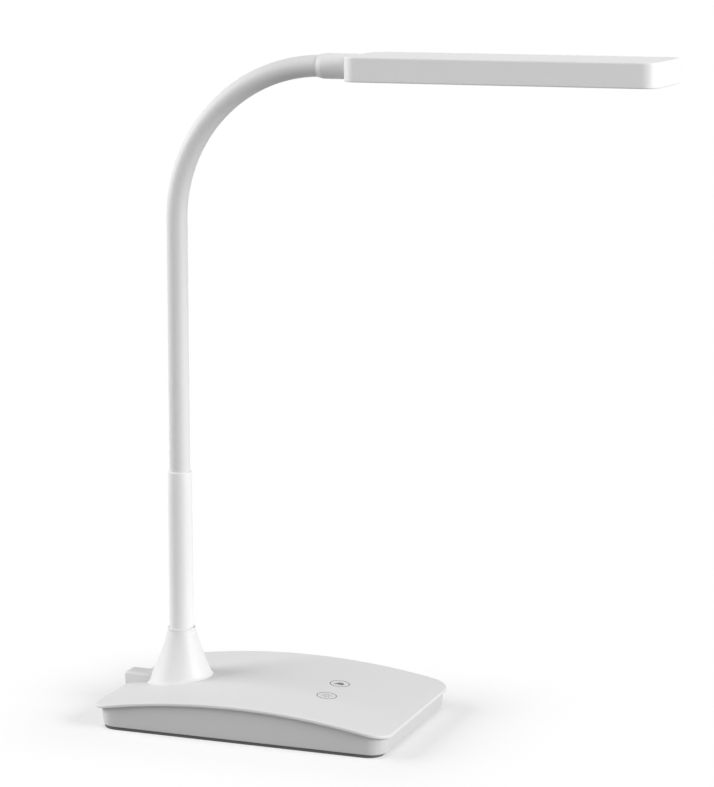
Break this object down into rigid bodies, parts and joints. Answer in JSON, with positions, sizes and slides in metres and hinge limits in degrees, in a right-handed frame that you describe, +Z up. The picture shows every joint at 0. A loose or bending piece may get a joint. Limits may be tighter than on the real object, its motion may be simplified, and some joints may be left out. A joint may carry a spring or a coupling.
{
  "type": "desk lamp",
  "caption": "Desk lamp with a flat LED light bar on a flexible gooseneck, rising from a cone on a low arched base with touch controls.",
  "frame": {"origin": "on the table, under the middle of the deck", "axes": "+X along the base's long side, from the neck towards the user's edge and the way the head reaches; +Y across the base; +Z up"},
  "size_m": [0.371, 0.137, 0.4466],
  "materials": {
    "deck": "satin moulded ABS, white",
    "housing": "satin moulded ABS, white",
    "foot": "dark grey non-slip mat, fine grain",
    "steel": "zinc plated",
    "circuit_board": "green solder mask",
    "black_plastic": "moulded, black",
    "brass": "turned contact pin",
    "red_wire": "flexible insulation",
    "stem": "satin white",
    "lead_jacket": "flexible white jacket",
    "gooseneck_steel": "wound steel",
    "neck_skin": "matt white silicone",
    "collar": "satin white",
    "head": "satin moulded ABS, white",
    "bearing": "acetal",
    "opal": "opal diffusing acrylic",
    "led_board": "white solder mask on aluminium",
    "led": "phosphor in white package"
  },
  "bodies": {
    "base": {"top_cover": "deck", "lower_housing": "housing", "foot_mat": "foot", "ballast_plate": "steel", "ballast_screws": "steel", "cover_screws": "steel", "control_board": "circuit_board", "board_components": "black_plastic", "board_screws": "steel", "touch_springs": "steel", "dc_jack": "black_plastic", "jack_pin": "brass", "jack_leads": "red_wire", "stem_fitting": "steel", "fitting_screws": "steel", "stem_sleeve": "stem", "neck_lead": "lead_jacket", "neck_core_0": "gooseneck_steel", "neck_sleeve_0": "neck_skin"},
    "neck_link_1": {"neck_core_1": "gooseneck_steel", "neck_sleeve_1": "neck_skin"},
    "neck_link_2": {"neck_core_2": "gooseneck_steel", "neck_sleeve_2": "neck_skin"},
    "neck_link_3": {"neck_core_3": "gooseneck_steel", "neck_sleeve_3": "neck_skin"},
    "neck_link_4": {"neck_core_4": "gooseneck_steel", "neck_sleeve_4": "neck_skin"},
    "neck_link_5": {"neck_core_5": "gooseneck_steel", "neck_sleeve_5": "neck_skin"},
    "neck_link_6": {"neck_core_6": "gooseneck_steel", "neck_sleeve_6": "neck_skin"},
    "neck_link_7": {"neck_core_7": "gooseneck_steel", "neck_sleeve_7": "neck_skin"},
    "neck_link_8": {"neck_core_8": "gooseneck_steel", "neck_sleeve_8": "neck_skin"},
    "neck_link_9": {"neck_core_9": "gooseneck_steel", "neck_sleeve_9": "neck_skin"},
    "neck_link_10": {"neck_core_10": "gooseneck_steel", "neck_sleeve_10": "neck_skin"},
    "neck_link_11": {"neck_core_11": "gooseneck_steel", "neck_sleeve_11": "neck_skin"},
    "neck_end": {"neck_core_12": "gooseneck_steel", "neck_sleeve_12": "neck_skin", "collar": "collar", "stop_pin": "steel", "retaining_ring": "steel"},
    "head": {"head_shell": "head", "swivel_block": "bearing", "diffuser_frame": "head", "diffuser": "opal", "led_board": "led_board", "led_chips": "led", "led_board_screws": "steel", "frame_screws": "steel", "head_lead": "lead_jacket"}
  },
  "joints": [
    {"name": "lean_1", "type": "hinge", "parent": "base", "child": "neck_link_1", "pos_m": [-0.0665, 0, 0.1792], "axis": [0, 1, 0], "range_deg": [-15, 15]},
    {"name": "sway_1", "type": "hinge", "parent": "neck_link_1", "child": "neck_link_2", "pos_m": [-0.0665, 0, 0.2076], "axis": [1, 0, 0], "range_deg": [-15, 15]},
    {"name": "lean_2", "type": "hinge", "parent": "neck_link_2", "child": "neck_link_3", "pos_m": [-0.0665, 0, 0.236], "axis": [0, 1, 0], "range_deg": [-15, 15]},
    {"name": "sway_2", "type": "hinge", "parent": "neck_link_3", "child": "neck_link_4", "pos_m": [-0.0665, 0, 0.2644], "axis": [1, 0, 0], "range_deg": [-15, 15]},
    {"name": "lean_3", "type": "hinge", "parent": "neck_link_4", "child": "neck_link_5", "pos_m": [-0.0665, 0, 0.2928], "axis": [0, 1, 0], "range_deg": [-15, 15]},
    {"name": "sway_3", "type": "hinge", "parent": "neck_link_5", "child": "neck_link_6", "pos_m": [-0.0665, 0, 0.3212], "axis": [1, 0, 0], "range_deg": [-15, 15]},
    {"name": "bow_1", "type": "hinge", "parent": "neck_link_6", "child": "neck_link_7", "pos_m": [-0.06562, 0, 0.34884], "axis": [0, 1, 0], "range_deg": [-15, 10]},
    {"name": "bow_2", "type": "hinge", "parent": "neck_link_7", "child": "neck_link_8", "pos_m": [-0.05866, 0, 0.37482], "axis": [0, 1, 0], "range_deg": [-15, 10]},
    {"name": "bow_3", "type": "hinge", "parent": "neck_link_8", "child": "neck_link_9", "pos_m": [-0.04521, 0, 0.3981], "axis": [0, 1, 0], "range_deg": [-15, 10]},
    {"name": "bow_4", "type": "hinge", "parent": "neck_link_9", "child": "neck_link_10", "pos_m": [-0.0262, 0, 0.41712], "axis": [0, 1, 0], "range_deg": [-15, 10]},
    {"name": "bow_5", "type": "hinge", "parent": "neck_link_10", "child": "neck_link_11", "pos_m": [-0.00292, 0, 0.43056], "axis": [0, 1, 0], "range_deg": [-15, 10]},
    {"name": "bow_6", "type": "hinge", "parent": "neck_link_11", "child": "neck_end", "pos_m": [0.02306, 0, 0.43752], "axis": [0, 1, 0], "range_deg": [-15, 10]},
    {"name": "head_swivel", "type": "hinge", "parent": "neck_end", "child": "head", "pos_m": [0.0615, 0, 0.4384], "axis": [1, 0, 0], "range_deg": [-90, 90]}
  ],
  "couplings": [
    {"joint": "lean_2", "follows": "lean_1", "ratio": 1},
    {"joint": "sway_2", "follows": "sway_1", "ratio": 1},
    {"joint": "lean_3", "follows": "lean_1", "ratio": 1},
    {"joint": "sway_3", "follows": "sway_1", "ratio": 1},
    {"joint": "bow_2", "follows": "bow_1", "ratio": 1},
    {"joint": "bow_3", "follows": "bow_1", "ratio": 1},
    {"joint": "bow_4", "follows": "bow_1", "ratio": 1},
    {"joint": "bow_5", "follows": "bow_1", "ratio": 1},
    {"joint": "bow_6", "follows": "bow_1", "ratio": 1}
  ]
}
